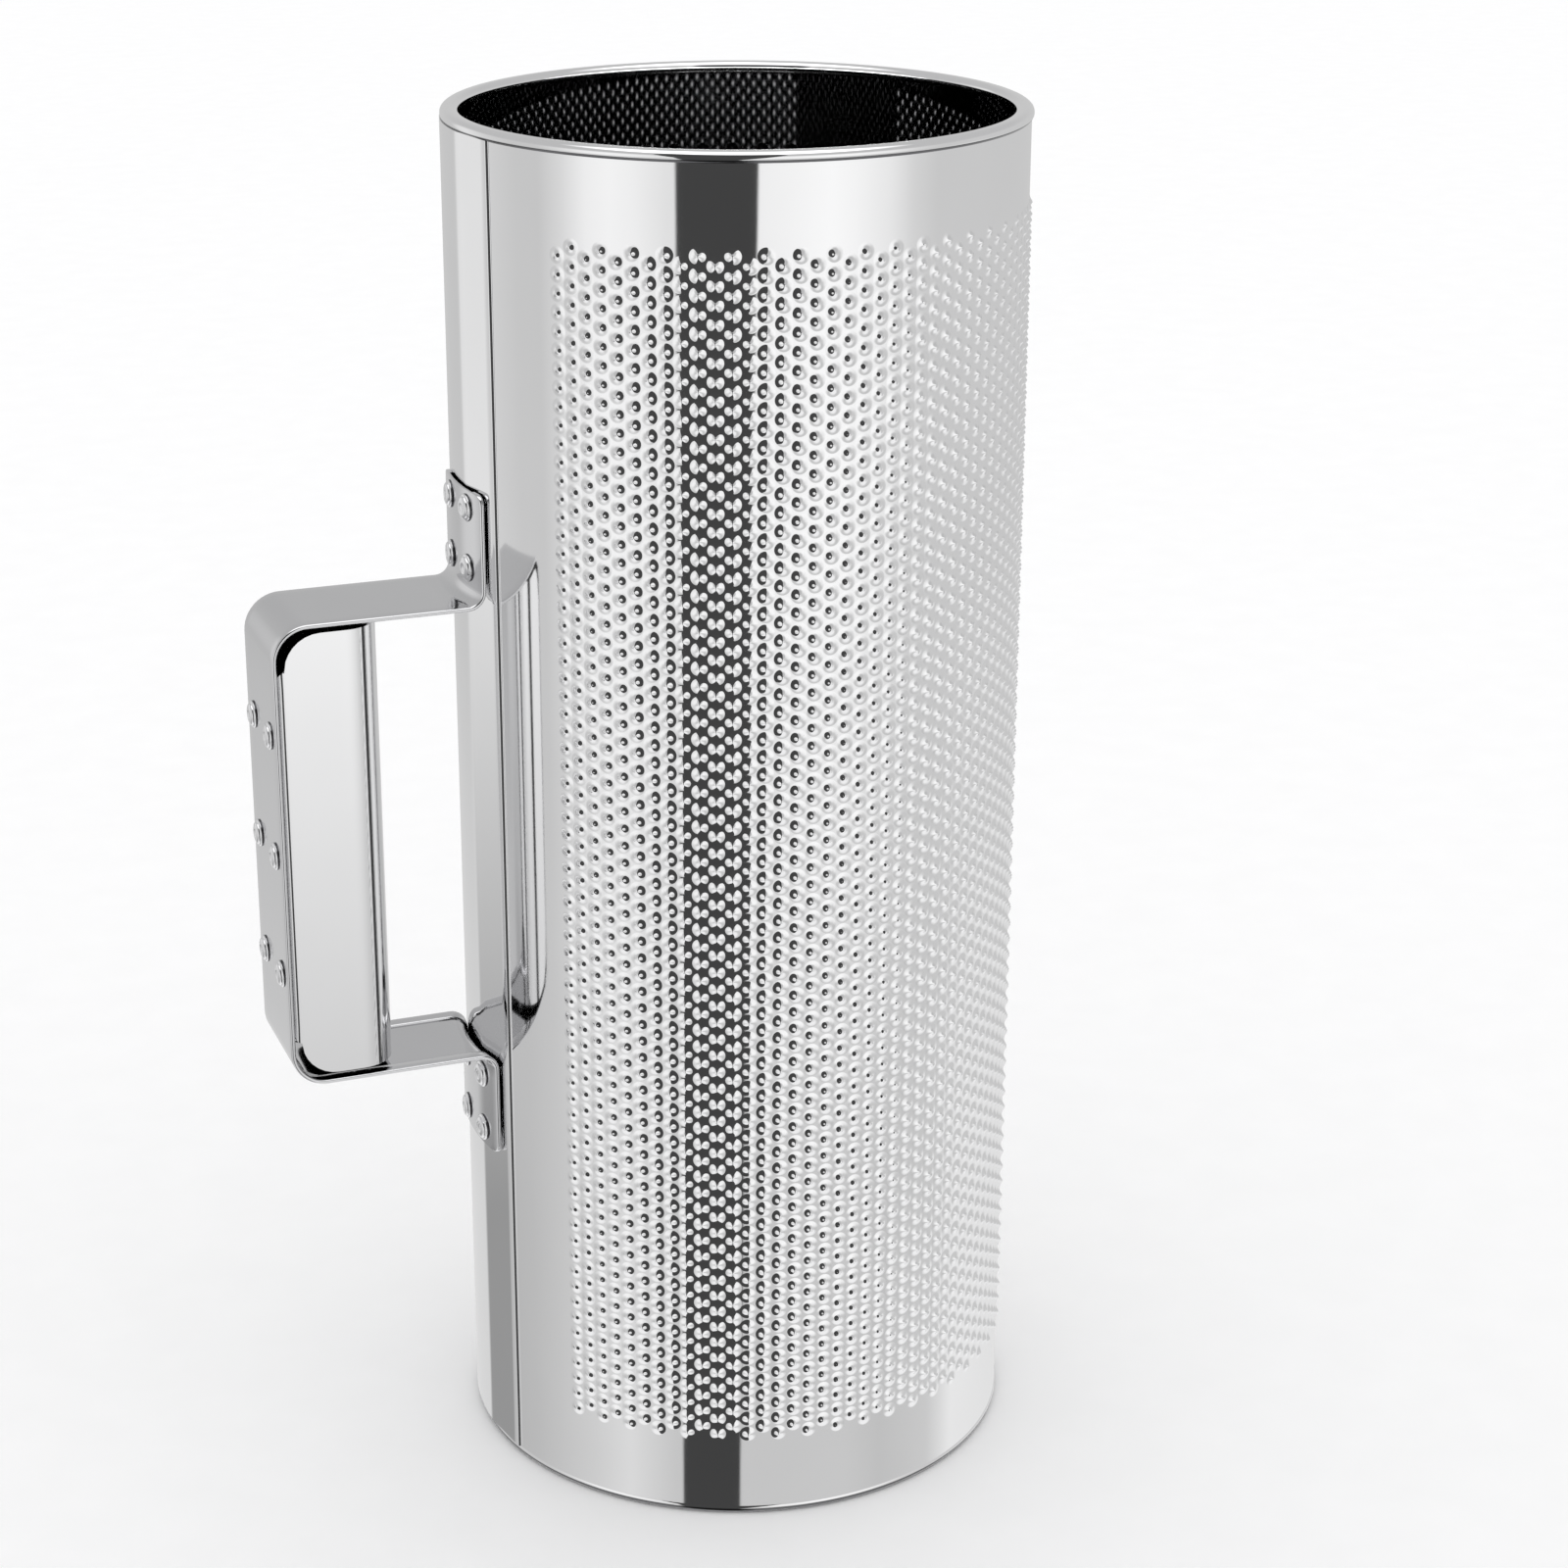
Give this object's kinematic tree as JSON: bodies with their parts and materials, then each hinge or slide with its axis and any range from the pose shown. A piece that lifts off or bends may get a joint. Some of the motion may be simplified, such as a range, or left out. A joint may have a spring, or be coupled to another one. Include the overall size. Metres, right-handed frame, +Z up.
{
  "type": "guira",
  "caption": "Open polished sheet-metal tube covered with punched bumps, with a riveted side handle, a percussion instrument that is scraped.",
  "frame": {"origin": "on the axis of the tube, in the plane of its base edge", "axes": "+Z up along the tube axis, the handle on the -X side"},
  "size_m": [0.1721, 0.1258, 0.305],
  "materials": {
    "tube_steel": "polished stainless steel sheet",
    "strap_steel": "polished stainless steel strip",
    "grip_steel": "polished stainless steel sheet",
    "rivet_steel": "polished steel rivet heads"
  },
  "bodies": {
    "root": {"shell": "tube_steel", "handle_strap": "strap_steel", "grip": "grip_steel", "foot_rivets": "rivet_steel", "grip_rivets": "rivet_steel"}
  },
  "joints": []
}
